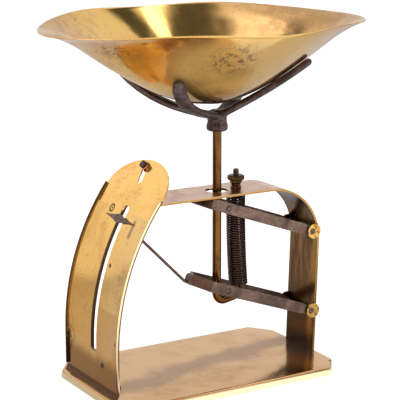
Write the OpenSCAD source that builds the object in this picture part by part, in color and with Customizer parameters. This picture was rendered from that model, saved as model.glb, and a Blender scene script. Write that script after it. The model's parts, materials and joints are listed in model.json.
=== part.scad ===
// Counter scale: a folded brass tray carries a bent brass strap. Two iron yokes pivot on
// the strap and guide a plunger rod, a tension spring holds the rod up, and a wire pointer
// on the lower yoke sweeps a curved dial. A loose brass pan rests on a four-armed spider.
// The origin is the middle of the tray's underside. +X runs from the dial to the post.

/* [Base tray] */
// Length of the tray
base_len = 228; // [216:1:250]
// Width of the tray
base_wid = 140; // [124:1:170]
// Height of the tray's top
base_high = 7; // [6:0.1:10]
// Sheet of the tray
base_sheet = 1.2; // [0.8:0.1:1.6]
// Outer radius of the fold round the top
fold_r = 2.8; // [2:0.1:4]
// Cut corner, along the length
corner_len = 16; // [10:1:24]
// Cut corner, along the width
corner_wid = 22; // [14:1:30]
// Relief hole at each corner of the fold
relief_r = 1.6; // [1:0.1:2]

/* [Frame strap] */
// Width of the strap
strap_wid = 44; // [40:1:50]
// Thickness of the strap
strap_thick = 2; // [1.5:0.1:2.5]
// Height of the bar's top
bar_top = 166; // [160:1:176]
// Outer radius of the corner over the post
corner_r = 52; // [36:1:60]
// Lean of the post, in degrees
post_lean = 1.9; // [0:0.1:3]
// From the tray's end to the post's foot
post_inset = 1.6; // [1.5:0.1:2]
// Outer radius of the bend over the dial
dial_bend_r = 12; // [8:1:16]
// Hole in the bar for the rod
rod_hole_d = 20.4; // [19:0.1:24]
// Middle of that hole, from the rod towards the dial
rod_hole_shift = 0.4; // [0:0.1:2]
// Length of the flat foot under the dial
foot_len = 11; // [9:1:14]
// Outer radius of the bend into the foot
foot_bend_r = 4; // [3:0.5:4.5]
// Width of each tab under the post
tab_wid = 8; // [6:1:10]
// Distance between the two tabs
tab_pitch = 24; // [16:1:28]
// Reach of each clinched tab under the tray
tab_len = 9; // [6:1:12]

/* [Pivot lugs] */
// Radius of a lug's round end
lug_r = 6.8; // [5.5:0.1:7.5]
// Thickness of a lug
lug_thick = 2; // [1.5:0.1:2.5]
// From the pivot to the middle of the lug's round end
lug_shift = 2; // [1:0.1:2.5]
// Gap between a lug and the strip inside it
lug_gap = 0.3; // [0.2:0.05:0.5]

/* [Yokes] */
// From the post's foot to the pivots
pivot_inset = 4.4; // [4.4:0.1:6]
// Height of the lower pivot
lower_pivot_z = 46; // [42:1:50]
// From the bar's top down to the upper pivot
upper_pivot_drop = 44.5; // [44.4:0.1:50]
// Lever length, from pivot to rod
lever_len = 94; // [88:1:98]
// Rise of the levers at rest, in degrees
lever_rest = 19.8; // [17:0.1:19.9]
// Travel of the levers, in degrees
lever_travel = 28; // [20:1:28]
// Thickness of a strip
strip_thick = 2; // [1.5:0.1:2.4]
// Height of a strip
strip_high = 9.8; // [8.5:0.1:10]
// Width inside a yoke
yoke_gap = 37.2; // [34:0.1:38]
// Length of the closed nose
nose_len = 4.8; // [4:0.1:6]
// Inward run of a strip for each millimetre of length, before the nose
taper_slope = 1.7; // [1.5:0.05:2.2]
// Width of the closed nose
nose_wid = 6.6; // [5.5:0.1:8]
// From the pivot to the tip of the nose
nose_reach = 127; // [118:1:132]
// Radius of a strip's end at the pivot
strip_end_r = 3.3; // [3.1:0.1:3.4]
// Length over which a strip narrows to that end
strip_end_len = 9; // [7:1:12]
// Gap that stays between the upper yoke and the bar
stop_gap = 0.3; // [0.2:0.05:0.6]

/* [Pins] */
// Diameter of the pivot pins
pin_d = 4; // [3.6:0.1:4.2]
// Diameter of a rivet head on a pin
pin_head_d = 5.6; // [5.2:0.1:6]
// Height of a rivet head on a pin
pin_head_high = 1; // [0.6:0.1:1.4]
// Diameter of the small rivets
rivet_d = 3; // [2.4:0.1:3.2]
// Diameter of their heads
rivet_head_d = 6; // [5:0.1:7]
// Height of their heads
rivet_head_high = 1.2; // [0.8:0.1:1.6]
// Diameter of the rivet across the nose
nose_rivet_d = 2.2; // [1.8:0.1:2.6]
// Diameter of that rivet's heads
nose_rivet_head_d = 3.6; // [3:0.1:4]
// Height of that rivet's heads
nose_rivet_head_high = 0.7; // [0.5:0.1:1]
// From the tip of the nose to that rivet
nose_rivet_inset = 2.5; // [2.2:0.1:3.2]
// Middle of that rivet above the middle of the nose
nose_rivet_rise = 1.4; // [1.2:0.1:1.8]

/* [Plunger rod] */
// Diameter of the rod
rod_d = 8; // [7:0.1:8.6]
// From the upper cross pin to the spider's hub
rod_rise = 66.5; // [60:0.5:80]
// Length of the rod inside the hub
rod_seat = 14; // [10:0.5:16]
// From the lower cross pin down to the start of the hook
hook_drop = 7.1; // [6.5:0.1:9]
// Radius of the hook's bends
hook_r = 7; // [6:0.1:8]
// Turn of the first bend, in degrees
hook_turn = 101; // [95:1:105]
// Straight run between the bends
hook_run = 9; // [7.5:0.1:10]
// Rod left above the hole for the spring
hook_cover = 3.2; // [2.5:0.1:5]

/* [Spring] */
// Wire of the spring
coil_wire = 1.7; // [1.4:0.1:1.8]
// Diameter of the coil, on its wire's middle
coil_d = 15.6; // [14.4:0.1:16]
// Pitch of the curls
coil_pitch = 2.23; // [2.2:0.01:2.35]
// Number of curls
coil_turns = 37; // [34:1:37]
// From the bar's underside down to the upper hook
coil_drop = 4; // [3:0.5:6]

/* [Adjuster] */
// From the rod to the adjusting screw
screw_offset = 19.7; // [19:0.1:21]
// Diameter of the screw
screw_d = 5.7; // [5:0.1:6]
// Height of the screw above the bar
screw_high = 17.5; // [15:0.5:20]
// Screw left below the hole for the spring
screw_tail = 3; // [2.5:0.5:5]
// Diameter of the nut
nut_d = 15.4; // [14:0.1:17]
// Height of the nut's rim
nut_high = 4.8; // [4:0.1:6]
// Diameter of the nut's shoulder
shoulder_d = 11.4; // [10:0.1:12]
// Height of the nut's shoulder
shoulder_high = 1.9; // [1.4:0.1:2.4]
// Round edge of the nut's rim
nut_edge = 1.2; // [0.6:0.1:1.8]
// Diameter of the rings under the nut
ring_d = 9.7; // [9:0.1:10.4]
// Height of each ring
ring_high = 2.6; // [2:0.1:3]
// Step from the lower ring's diameter to the upper one's
ring_step = 0.8; // [0.4:0.1:1.4]

/* [Dial plate] */
// Width of the dial plate
dial_wid = 97.2; // [86:0.1:110]
// Sheet of the dial plate
dial_sheet = 1.2; // [0.8:0.1:1.6]
// From the tray's end to the back of the dial plate
dial_inset = 8.3; // [7.4:0.1:9]
// Depth of the turned edges
lip_depth = 3.3; // [2.4:0.1:4]
// Top of the turned edges above the bar, in degrees
lip_over = 2.3; // [1.5:0.1:4]
// Rise of the round head above the turned edges
head_rise = 33.4; // [30:0.1:38]
// Width of the pointer slot
slot_wid = 10.5; // [9:0.1:12]
// Middle of the pointer slot, across the plate
slot_y = -3; // [-4:0.1:-1]
// Slot above and below the pointer's travel, in degrees
slot_spare = 2.2; // [1.8:0.1:2.4]
// Width of the slot in the head
head_slot_wid = 6; // [5:0.1:7]
// Length of the slot in the head, between its round ends
head_slot_len = 15; // [12:0.5:17]
// Slant of that slot, in degrees
head_slot_slant = 25; // [15:1:35]
// Middle of that slot, across the plate
head_slot_y = 4.6; // [2:0.1:8]
// From the plate's top to the upper end of that slot
head_slot_drop = 7.6; // [6.5:0.1:9]
// Forward kick of the lower edge
kick_depth = 2.6; // [1.5:0.1:3]
// Height of the crease above the tray
kick_high = 5; // [4.5:0.5:8]
// Place of the lower rivet, across the plate
dial_rivet_y = -18.4; // [-18.6:0.1:-12]
// Height of the lower rivet above the tray
dial_rivet_high = 23; // [16:1:26]

/* [Dial screw] */
// Diameter of the screw in the head's slot
clamp_screw_d = 3.2; // [2.6:0.1:4]
// Diameter of its head
clamp_head_d = 6.6; // [6:0.1:7.5]
// Height of its head
clamp_head_high = 3; // [2:0.1:4]
// Width of the cut in its head
clamp_cut_wid = 1; // [0.6:0.1:1.4]
// Depth of the cut in its head
clamp_cut_deep = 0.8; // [0.5:0.1:1.2]
// Height of its nut
clamp_nut_high = 2.4; // [1.6:0.1:3]
// Gap between the plate's back and its nut
clamp_nut_gap = 1; // [0.2:0.1:1]
// Diameter of its washer
clamp_washer_d = 8.6; // [8:0.1:9.5]
// Thickness of its washer
clamp_washer_thick = 1.6; // [1:0.1:2]

/* [Pointer] */
// Diameter of the pointer's wire
pointer_wire_d = 2.6; // [2:0.1:2.8]
// Middle of the wire below the middle of the nose
wire_drop = 3; // [2.6:0.1:3.2]
// From the nose to the wire's bend
wire_lead = 1.5; // [1:0.1:3]
// Lead of the pointer over the lever, in degrees
pointer_lead = 9.8; // [9:0.1:10.5]
// Width of the pointer
pointer_wid = 53; // [46:0.5:58]
// Height of the pointer
pointer_high = 9.4; // [8:0.1:12]
// Thickness of the pointer
pointer_thick = 1; // [0.6:0.1:1.4]
// Power that draws the pointer's sides in: 1 is an ellipse
pointer_hollow = 2.6; // [2:0.1:3.2]
// Middle of the pointer, across the plate
pointer_y = -1; // [-2:0.1:0]
// Gap between the dial plate and the pointer
pointer_gap = 0.6; // [0.4:0.1:1]

/* [Pan spider] */
// Diameter of the hub's collar
hub_d = 19.2; // [17:0.1:22]
// Height of the collar
hub_collar_high = 6.8; // [5:0.1:8]
// From the hub's foot up to the bottom of the pan
pan_seat = 25; // [24:0.5:28]
// Width of an arm
arm_wid = 12.5; // [10:0.1:14]
// Thickness of an arm
arm_thick = 6.6; // [5.5:0.1:7.5]
// Clearance between an arm's tip and the pan
arm_tip_gap = 0.3; // [0.3:0.05:0.6]
// Height of the hub
hub_high = 19; // [17:0.5:21]
// Height of the cone at the hub's top
hub_cone_high = 4; // [2:0.5:6]
// Inset of the cone at the hub's top
hub_cone = 3; // [2:0.5:5]
// Step from the collar in to the hub's neck
hub_neck_step = 1; // [0.5:0.1:2]
// Bevel of the collar's lower edge
hub_edge = 1.5; // [1:0.1:2]
// Bevel of the collar's upper edge
hub_top_edge = 1; // [0.6:0.1:1.4]
// Middle of the arms at the hub, above its foot
arm_root_high = 13.5; // [12:0.5:15]
// Direction of the near arm on the post's side
near_right_turn = -26; // [-32:1:-18]
// Reach of the near arm on the post's side
near_right_reach = 78; // [70:1:82]
// Knee of the near arm on the post's side: distance out
near_right_knee = 45; // [36:1:52]
// Knee of the near arm on the post's side: height above the hub's foot
near_right_knee_z = 34; // [28:0.5:36]
// Direction of the far arm on the post's side
far_right_turn = 34; // [28:1:42]
// Reach of the far arm on the post's side
far_right_reach = 84; // [76:1:88]
// Knee of the far arm on the post's side: distance out
far_right_knee = 61; // [50:1:66]
// Knee of the far arm on the post's side: height above the hub's foot
far_right_knee_z = 24; // [20:0.5:28]
// Direction of the far arm on the dial's side
far_left_turn = 154; // [148:1:162]
// Reach of the far arm on the dial's side
far_left_reach = 88; // [80:1:92]
// Knee of the far arm on the dial's side: distance out
far_left_knee = 62; // [52:1:68]
// Knee of the far arm on the dial's side: height above the hub's foot
far_left_knee_z = 22; // [18:0.5:26]
// Direction of the near arm on the dial's side
near_left_turn = 214; // [208:1:222]
// Reach of the near arm on the dial's side
near_left_reach = 76; // [70:1:80]
// Knee of the near arm on the dial's side: distance out
near_left_knee = 79; // [70:1:82]
// Knee of the near arm on the dial's side: height above the hub's foot
near_left_knee_z = 27; // [22:0.5:30]

/* [Pan] */
// Length of the pan
pan_len = 332; // [316:1:350]
// Width of the pan
pan_wid = 203; // [190:1:216]
// Depth of the pan
pan_deep = 71.9; // [66:0.1:76]
// Sheet of the pan
pan_sheet = 1.2; // [0.9:0.1:1.6]
// Fullness of the pan's outline: 2 is an ellipse, less is more pointed
pan_full = 1.77; // [1.7:0.01:2.1]
// Turn of the pan about the rod, in degrees
pan_turn = 6.3; // [0:0.1:8]
// Middle of the pan from the rod, along the tray
pan_shift_x = -6.7; // [-9:0.1:0]
// Middle of the pan from the rod, across the tray
pan_shift_y = 2.5; // [-3:0.1:4]
// Rise of the pan towards the far side, in degrees
pan_tilt_far = 1.9; // [0:0.1:2.5]
// Fall of the pan towards the post, in degrees
pan_tilt_post = 1; // [0:0.1:2]
// Round share of the pan's bottom
pan_round = 0.32; // [0.28:0.01:0.4]
// Power of the pan's rise from its bottom to its rim
pan_power = 1.13; // [1:0.01:1.3]
// Dip of the rim at both ends
pan_dip_ends = 1.7; // [0:0.1:3]
// Dip of the rim at the ends and sides, against the quarters between
pan_dip_quarters = 1.9; // [0:0.1:3]
// Where the rim starts to flare, as a share of the way out
pan_lip_start = 0.77; // [0.7:0.01:0.85]
// Flare of the rim, as a share of the depth
pan_flare = 0.05; // [0:0.01:0.08]
// Further flare at the ends than at the sides
pan_end_flare = 0.08; // [0:0.01:0.1]

/* [Fits] */
// Radial clearance of a running pin
run_gap = 0.05; // [0.03:0.01:0.08]
// Radial clearance of the pivot that closes the linkage
open_gap = 0.1; // [0.06:0.01:0.12]
// Clearance of pieces that are fixed together
fixed_gap = 0.03; // [0.02:0.01:0.05]
// Clearance between the strap and what lies against it
seat_gap = 0.1; // [0.05:0.01:0.15]
// Clearance of the spring's wire in its holes
wire_gap = 0.12; // [0.1:0.01:0.2]

/* [Hidden] */
$fn = 64;

// Length of a cut right across, how far a cut passes a face, and steps in degrees
through = 200;
spill = 1;
arc_step = 2.5;
star_step = 10;
head_step = 5;

// Tray
end_x = base_len / 2;
side_y = base_wid / 2;
corner_turn = atan(corner_len / corner_wid);
corner_dist = (end_x - corner_len) * cos(corner_turn) + side_y * sin(corner_turn);

// Strap, as seen from the near side
post_x = end_x - post_inset;
bar_under = bar_top - strap_thick;
corner_z = bar_top - corner_r;
corner_x = post_x - (corner_r - (corner_z - base_high) * sin(post_lean)) / cos(post_lean);
pivot_x = post_x - pivot_inset;
upper_pivot_z = bar_top - upper_pivot_drop;

// Dial, as circles about the lower pivot
dial_back_r = pivot_x + end_x - dial_inset;
dial_front_r = dial_back_r + dial_sheet;
leg_r = dial_back_r - seat_gap;
leg_x = pivot_x - leg_r;
foot_rivet_x = leg_x + foot_bend_r + foot_len / 2;
foot_rivet_y = strap_wid / 4;
bend_z = bar_top - dial_bend_r;
bend_turn = asin((bend_z - lower_pivot_z) / (leg_r - dial_bend_r));
bend_x = pivot_x - (leg_r - dial_bend_r) * cos(bend_turn);
bar_deg = asin((bar_top - lower_pivot_z) / leg_r);
lip_top_deg = bar_deg + lip_over;
head_deg = 2 * asin(head_rise / 2 / dial_front_r);
head_mid_deg = lip_top_deg + head_deg / 2;
pointer_deg = lever_rest + pointer_lead;
slot_top_deg = pointer_deg + slot_spare;
slot_low_deg = pointer_deg - lever_travel - slot_spare;
slot_half = slot_wid / 2;
head_start = 0.4;
head_spill = 3;
slot_end_deg = asin(slot_half / dial_back_r);
crease_z = base_high + kick_high;
foot_z = base_high + foot_bend_r;

// Head slot, from the middle of the head's height
head_slot_top = head_rise / 2 - head_slot_drop;
head_slot_mid = head_slot_top - head_slot_len / 2 * cos(head_slot_slant);
clamp_y = head_slot_y + (head_slot_len / 2) * sin(head_slot_slant);

// Yokes
strip_out = yoke_gap / 2 + strip_thick;
strip_in = yoke_gap / 2;
lug_in = strip_out + lug_gap;
lug_out = lug_in + lug_thick;
nose_half = nose_wid / 2;
pocket_half = nose_half - strip_thick;
taper_shift = strip_thick * sqrt(1 + 1 / (taper_slope * taper_slope));
nose_start = nose_reach - nose_len;
taper_start = nose_start - (strip_out - nose_half) / taper_slope;
lug_lap = 0.1;

// Rod and hook: a bend is a hair thicker than a run, and each run starts inside its bend
rod_x = pivot_x - lever_len * cos(lever_rest);
lower_pin_z = lower_pivot_z + lever_len * sin(lever_rest);
upper_pin_z = upper_pivot_z + lever_len * sin(lever_rest);
hub_z = upper_pin_z + rod_rise;
pan_z = hub_z + pan_seat;
hook_z = lower_pin_z - hook_drop;
hook_mid_x = rod_x + hook_r - hook_r * cos(hook_turn);
hook_mid_z = hook_z - hook_r * sin(hook_turn);
hook_rise = hook_turn - 90;
hook_end_x = hook_mid_x + hook_run * cos(hook_rise);
hook_end_z = hook_mid_z + hook_run * sin(hook_rise);
bend_swell = 0.04;
bend_lap = 0.2;
tip_bend_x = hook_end_x - hook_r * sin(hook_rise);
tip_bend_z = hook_end_z + hook_r * cos(hook_rise);
tip_x = tip_bend_x + hook_r;

// Spring: turn from the hook's side to the coil, steps of its wire and drift of its axis
screw_x = rod_x + screw_offset;
end_turn = 55;
end_steps = 4;
end_out = 0.9;
ring_steps = 8;
wire_sides = 6;
next_rings = 4;
near_rings = 20;
coil_drift = 2.5;
coil_span = coil_turns * 360 + 2 * end_turn;
coil_rings = ceil(coil_span / 360 * ring_steps);
coil_top = bar_under - coil_drop;
coil_low = coil_top - coil_span / 360 * coil_pitch;
coil_r = coil_d / 2;
end_r = coil_r * cos(end_turn) / (1 + cos(end_turn));
end_y = (coil_r - end_r) * sin(end_turn);

// Spider: steps along an arm, sides round it and the power that makes them flat
arm_steps = 9;
arm_sides = 10;
arm_square = 0.7;

// Pointer's wire: from the pointer's back to the middle of the wire's end, how much
// thicker its bend is, and the depth of its hole in the nose
wire_stop = 0.5;
wire_swell = 0.1;
wire_seat = nose_wid + spill;

// Adjuster
nut_z = bar_top + 2 * ring_high + seat_gap;
screw_top = bar_top + screw_high;

function post_face_x(z) = z < corner_z - corner_r * sin(post_lean)
    ? post_x + (z - base_high) * tan(post_lean)
    : corner_x + sqrt(corner_r * corner_r - (z - corner_z) * (z - corner_z));

// Closed skin over rings of points that turn anticlockwise seen from the last ring
module skin(rings) {
    n = len(rings[0]);
    m = len(rings);
    first = n * m;
    last = first + 1;
    points = concat([for (r = rings) each r], [middle(rings[0]), middle(rings[m - 1])]);
    sides = [for (i = [0 : m - 2], j = [0 : n - 1])
        let (k = (j + 1) % n, a = i * n + j, b = i * n + k)
        each [[a, a + n, b + n], [a, b + n, b]]];
    low = [for (j = [0 : n - 1]) [first, j, (j + 1) % n]];
    high = [for (j = [0 : n - 1]) [last, (m - 1) * n + (j + 1) % n, (m - 1) * n + j]];
    polyhedron(points, concat(sides, low, high));
}
function middle(ring) = [for (i = [0 : 2]) sum([for (p = ring) p[i]]) / len(ring)];
function sum(v, i = 0) = i == len(v) ? 0 : v[i] + sum(v, i + 1);
function unit(v) = v / norm(v);
function blend(a, b, share) = a + (b - a) * share;

// Places things by angle and radius about the lower pivot, seen from the near side:
// local X points at the dial, the angle rises towards +Z, and local Z is the tray's +Y
module dial_frame(turn = 0) {
    translate([pivot_x, 0, lower_pivot_z]) rotate([90, 0, 180]) rotate([0, 0, turn]) children();
}

// Curved sheet about the lower pivot, from radius r0 to r1
module dial_arc(r0, r1, y0, y1, turn0, turn1) {
    dial_frame(turn0) rotate_extrude(angle = turn1 - turn0) translate([r0, y0]) square([r1 - r0, y1 - y0]);
}

// Round bar along Y, with its middle at y = 0
module cross_bar(d, len) {
    rotate([90, 0, 0]) cylinder(d = d, h = len, center = true);
}

// Block between two corners
module block(low, high) {
    translate(low) cube(high - low);
}

// One pair of opposite tray sides, with the fold along both
module tray_slab(dist, inset, turn) {
    r = fold_r - inset;
    d = dist - inset;
    top = base_high - inset;
    low = -inset;
    rotate([90, 0, turn]) linear_extrude(base_len + base_wid, center = true) {
        translate([-d, low]) square([2 * d, top - r - low]);
        translate([r - d, low]) square([2 * (d - r), top - low]);
        for (side = [-1, 1]) translate([side * (d - r), top - r]) circle(r);
    }
}

module tray_body(inset) {
    intersection() {
        tray_slab(end_x, inset, 0);
        tray_slab(side_y, inset, 90);
        tray_slab(corner_dist, inset, corner_turn);
        tray_slab(corner_dist, inset, -corner_turn);
    }
}

module base_tray() {
    color("burlywood") difference() {
        tray_body(0);
        tray_body(base_sheet);
        for (sx = [-1, 1], sy = [-1, 1]) {
            relief_hole(sx * end_x, sy * (side_y - corner_wid));
            relief_hole(sx * (end_x - corner_len), sy * side_y);
        }
        for (side = [-1, 1]) {
            tab_hole(side);
            translate([foot_rivet_x, side * foot_rivet_y, 0])
                cylinder(d = rivet_d + 2 * fixed_gap, h = base_high + spill);
        }
    }
}

module relief_hole(x, y) {
    translate([x, y, base_high - fold_r]) cylinder(r = relief_r, h = fold_r + spill);
}

module tab_hole(side) {
    y = side * tab_pitch / 2;
    half = tab_wid / 2 + seat_gap;
    block([post_x - strap_thick - seat_gap, y - half, base_high - fold_r],
        [post_x + seat_gap, y + half, base_high + spill]);
}

module frame_strap() {
    color("peru") difference() {
        union() {
            rotate([90, 0, 0]) linear_extrude(strap_wid, center = true) strap_profile();
            for (side = [-1, 1]) clinched_tab(side * tab_pitch / 2);
            for (z = [lower_pivot_z, upper_pivot_z], side = [-1, 1]) lug(z, side);
        }
        bar_hole(rod_x - rod_hole_shift, rod_hole_d);
        bar_hole(screw_x, screw_d + 2 * seat_gap);
        dial_arc(leg_r - strap_thick - spill, dial_back_r + spill, slot_y - slot_half, slot_y + slot_half,
            slot_low_deg - slot_end_deg, slot_top_deg + slot_end_deg);
        dial_rivet_hole();
        for (z = [lower_pivot_z, upper_pivot_z])
            translate([pivot_x, 0, z]) cross_bar(pin_d + 2 * fixed_gap, through);
        for (side = [-1, 1]) translate([foot_rivet_x, side * foot_rivet_y, base_high - spill])
            cylinder(d = rivet_d + 2 * fixed_gap, h = strap_thick + 2 * spill);
    }
}

module bar_hole(x, d) {
    translate([x, 0, bar_under - spill]) cylinder(d = d, h = strap_thick + 2 * spill);
}

// Points along an arc from angle turn0 to turn1
function arc_points(x, z, r, turn0, turn1) =
    let (count = ceil(abs(turn1 - turn0) / arc_step))
    [for (i = [0 : count]) let (turn = turn0 + (turn1 - turn0) * i / count)
        [x + r * cos(turn), z + r * sin(turn)]];

// One face of the strap from the near side, a depth below its outer face: foot, leg
// behind the dial, bar and leaning post
function strap_path(depth) = concat(
    [[leg_x + foot_bend_r + foot_len, base_high + depth]],
    arc_points(leg_x + foot_bend_r, foot_z, foot_bend_r - depth, 270, 180),
    arc_points(pivot_x, lower_pivot_z, leg_r - depth, 180, 180 - bend_turn),
    arc_points(bend_x, bend_z, dial_bend_r - depth, 180 - bend_turn, 90),
    arc_points(corner_x, corner_z, corner_r - depth, 90, -post_lean),
    [[post_x - depth / cos(post_lean), base_high]]);

module strap_profile() {
    inner = strap_path(strap_thick);
    polygon(concat(strap_path(0), [for (i = [len(inner) - 1 : -1 : 0]) inner[i]]));
}

// The post goes on through the tray as two tabs, turned in under it
module clinched_tab(y) {
    top = base_high - base_sheet - seat_gap;
    block([post_x - strap_thick, y - tab_wid / 2, top - strap_thick], [post_x, y + tab_wid / 2, base_high]);
    block([post_x - tab_len, y - tab_wid / 2, top - strap_thick], [post_x, y + tab_wid / 2, top]);
}

module lug(z, side) {
    x = pivot_x + lug_shift;
    reach = min(post_face_x(z + lug_r), post_face_x(z - lug_r), post_face_x(z)) - lug_lap;
    y0 = side > 0 ? lug_in : -lug_out;
    translate([x, y0, z]) rotate([-90, 0, 0]) cylinder(r = lug_r, h = lug_thick);
    block([x, y0, z - lug_r], [reach, y0 + lug_thick, z + lug_r]);
}

// Slot that the pointer's wire moves in, cut between two radii
module dial_slot(r0, r1) {
    dial_arc(r0, r1 + spill, slot_y - slot_half, slot_y + slot_half, slot_low_deg, slot_top_deg);
    for (turn = [slot_low_deg, slot_top_deg]) dial_frame(turn)
        translate([r0, 0, slot_y]) rotate([0, 90, 0]) cylinder(r = slot_half, h = r1 + spill - r0);
}

module foot_rivets() {
    low = base_high - base_sheet;
    color("dimgray") for (side = [-1, 1]) translate([foot_rivet_x, side * foot_rivet_y, 0]) {
        translate([0, 0, low]) cylinder(d = rivet_d, h = base_sheet + strap_thick);
        translate([0, 0, base_high + strap_thick])
            cylinder(d1 = rivet_head_d, d2 = rivet_d, h = rivet_head_high);
        translate([0, 0, low - rivet_head_high]) cylinder(d = rivet_head_d, h = rivet_head_high);
    }
}

// One face of the dial plate from the near side: kicked edge, leg and arc
function dial_path(r, top_deg) = concat(
    [[pivot_x - r - kick_depth, base_high + seat_gap], [pivot_x - r, crease_z]],
    arc_points(pivot_x, lower_pivot_z, r, 180, 180 - top_deg));

module dial_plate() {
    half = dial_wid / 2;
    back = dial_path(dial_back_r, lip_top_deg + head_deg + spill);
    front = dial_path(dial_front_r, lip_top_deg + head_deg + spill);
    color("goldenrod") difference() {
        union() {
            rotate([90, 0, 0]) linear_extrude(dial_wid, center = true)
                polygon(concat(front, [for (i = [len(back) - 1 : -1 : 0]) back[i]]));
            for (y = [dial_sheet - half, half])
                translate([0, y, 0]) rotate([90, 0, 0]) linear_extrude(dial_sheet) lip_profile();
        }
        dial_slot(dial_back_r - spill, dial_back_r + lip_depth);
        dial_rivet_hole();
        head_cut() difference() {
            translate([head_start - head_rise / 2, -dial_wid]) square([2 * head_rise, 2 * dial_wid]);
            head_outline(half);
        }
        head_cut() head_slot();
    }
}

// Turned edge from the near side, which starts inside the plate's sheet
module lip_profile() {
    back_r = dial_back_r + dial_sheet / 2;
    front_r = dial_back_r + lip_depth;
    low = crease_z + dial_sheet;
    polygon(concat(
        [[pivot_x - back_r, low]],
        arc_points(pivot_x, lower_pivot_z, back_r, 180, 180 - lip_top_deg),
        arc_points(pivot_x, lower_pivot_z, front_r, 180 - lip_top_deg, 180),
        [[pivot_x - front_r, low]]));
}

// Cuts an outline, in tangent and width, through the head
module head_cut() {
    dial_frame(head_mid_deg) translate([dial_back_r - head_spill, 0, 0]) rotate([90, 0, 90])
        linear_extrude(dial_sheet + 2 * head_spill) children();
}

// Half an ellipse, in tangent and width
module head_outline(half) {
    polygon(concat(
        [[-head_rise, -half], [-head_rise, half]],
        [for (turn = [0 : head_step : 180]) [head_rise * (sin(turn) - 0.5), half * cos(turn)]]));
}

module head_slot() {
    translate([head_slot_mid, head_slot_y]) rotate(head_slot_slant) {
        square([head_slot_len, head_slot_wid], center = true);
        for (side = [-1, 1]) translate([side * head_slot_len / 2, 0]) circle(d = head_slot_wid);
    }
}

module dial_rivet_hole() {
    translate([leg_x, dial_rivet_y, base_high + dial_rivet_high]) rotate([0, 90, 0])
        cylinder(d = rivet_d + 2 * fixed_gap, h = 4 * (strap_thick + dial_sheet), center = true);
}

module dial_rivet() {
    held = dial_sheet + seat_gap + strap_thick;
    color("dimgray") translate([pivot_x - dial_front_r, dial_rivet_y, base_high + dial_rivet_high])
        rotate([0, 90, 0]) {
            cylinder(d = rivet_d, h = held);
            translate([0, 0, -rivet_head_high])
                cylinder(d1 = rivet_d, d2 = rivet_head_d, h = rivet_head_high);
            translate([0, 0, held]) cylinder(d = rivet_head_d, h = rivet_head_high);
        }
}

// The clamp screw stands square to the plate at the upper end of the head's slot
module clamp_frame() {
    dial_frame(head_mid_deg) translate([0, head_slot_top, clamp_y]) rotate([0, 90, 0]) children();
}

module clamp_washer() {
    color("rosybrown") clamp_frame() translate([0, 0, dial_front_r]) difference() {
        cylinder(d = clamp_washer_d, h = clamp_washer_thick);
        translate([0, 0, -spill])
            cylinder(d = clamp_screw_d + 2 * fixed_gap, h = clamp_washer_thick + 2 * spill);
    }
}

module clamp_screw() {
    top = dial_front_r + clamp_washer_thick;
    low = dial_back_r - clamp_nut_gap - clamp_nut_high;
    color("dimgray") clamp_frame() {
        translate([0, 0, low]) cylinder(d = clamp_screw_d, h = top + spill - low);
        difference() {
            translate([0, 0, top]) cylinder(d = clamp_head_d, h = clamp_head_high);
            translate([0, 0, top + clamp_head_high])
                cube([clamp_cut_wid, clamp_head_d + spill, 2 * clamp_cut_deep], center = true);
        }
        translate([0, 0, low]) cylinder(d = clamp_washer_d, h = clamp_nut_high);
    }
}

// Pin with a riveted head at each end; span is the width it holds
module riveted_pin(x, z, span) {
    translate([x, 0, z]) {
        cross_bar(pin_d, span);
        for (side = [-1, 1]) translate([0, side * span / 2, 0]) rotate([-90 * side, 0, 0])
            cylinder(d1 = pin_head_d, d2 = pin_d, h = pin_head_high);
    }
}

module lower_pivot_pin() {
    color("dimgray") riveted_pin(pivot_x, lower_pivot_z, 2 * (lug_out + fixed_gap));
}

module upper_pivot_pin() {
    color("dimgray") riveted_pin(pivot_x, upper_pivot_z, 2 * (lug_out + fixed_gap));
}

module lower_cross_pin() {
    color("dimgray") riveted_pin(rod_x, lower_pin_z, 2 * (strip_out + seat_gap));
}

module upper_cross_pin() {
    color("dimgray") riveted_pin(rod_x, upper_pin_z, 2 * (strip_out + seat_gap));
}

// Places a lever at rest: its pivot is the origin and its rod end lies towards -X
module lever_frame(z) {
    translate([pivot_x, 0, z]) rotate([0, lever_rest, 0]) children();
}

// Yoke in its lever's frame; rod_gap is the clearance round its cross pin
module yoke(rod_gap) {
    half = strip_high / 2;
    square_end = nose_reach - nose_half - strip_end_len;
    pocket_start = taper_start + (strip_out - strip_in) / taper_slope - taper_shift;
    pocket_end = taper_start + (strip_out - pocket_half) / taper_slope - taper_shift;
    difference() {
        intersection() {
            linear_extrude(strip_high, center = true) difference() {
                polygon([
                    [strip_high, strip_out], [-taper_start, strip_out], [-nose_start, nose_half],
                    [-nose_reach, nose_half], [-nose_reach, -nose_half], [-nose_start, -nose_half],
                    [-taper_start, -strip_out], [strip_high, -strip_out]]);
                polygon([
                    [strip_high + spill, strip_in], [-pocket_start, strip_in],
                    [-pocket_end, pocket_half], [-pocket_end, -pocket_half],
                    [-pocket_start, -strip_in], [strip_high + spill, -strip_in]]);
            }
            rotate([90, 0, 0]) linear_extrude(through, center = true) {
                circle(r = strip_end_r);
                polygon([
                    [0, strip_end_r], [-strip_end_len, half],
                    [-strip_end_len, -half], [0, -strip_end_r]]);
                translate([-nose_reach + nose_half, -half]) square([square_end, strip_high]);
                translate([-nose_reach, nose_half - half]) square([nose_wid, strip_high - nose_wid]);
                for (side = [-1, 1])
                    translate([nose_half - nose_reach, side * (half - nose_half)]) circle(r = nose_half);
            }
        }
        cross_bar(pin_d + 2 * run_gap, through);
        translate([-lever_len, 0, 0]) cross_bar(pin_d + 2 * rod_gap, through);
    }
}

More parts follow.
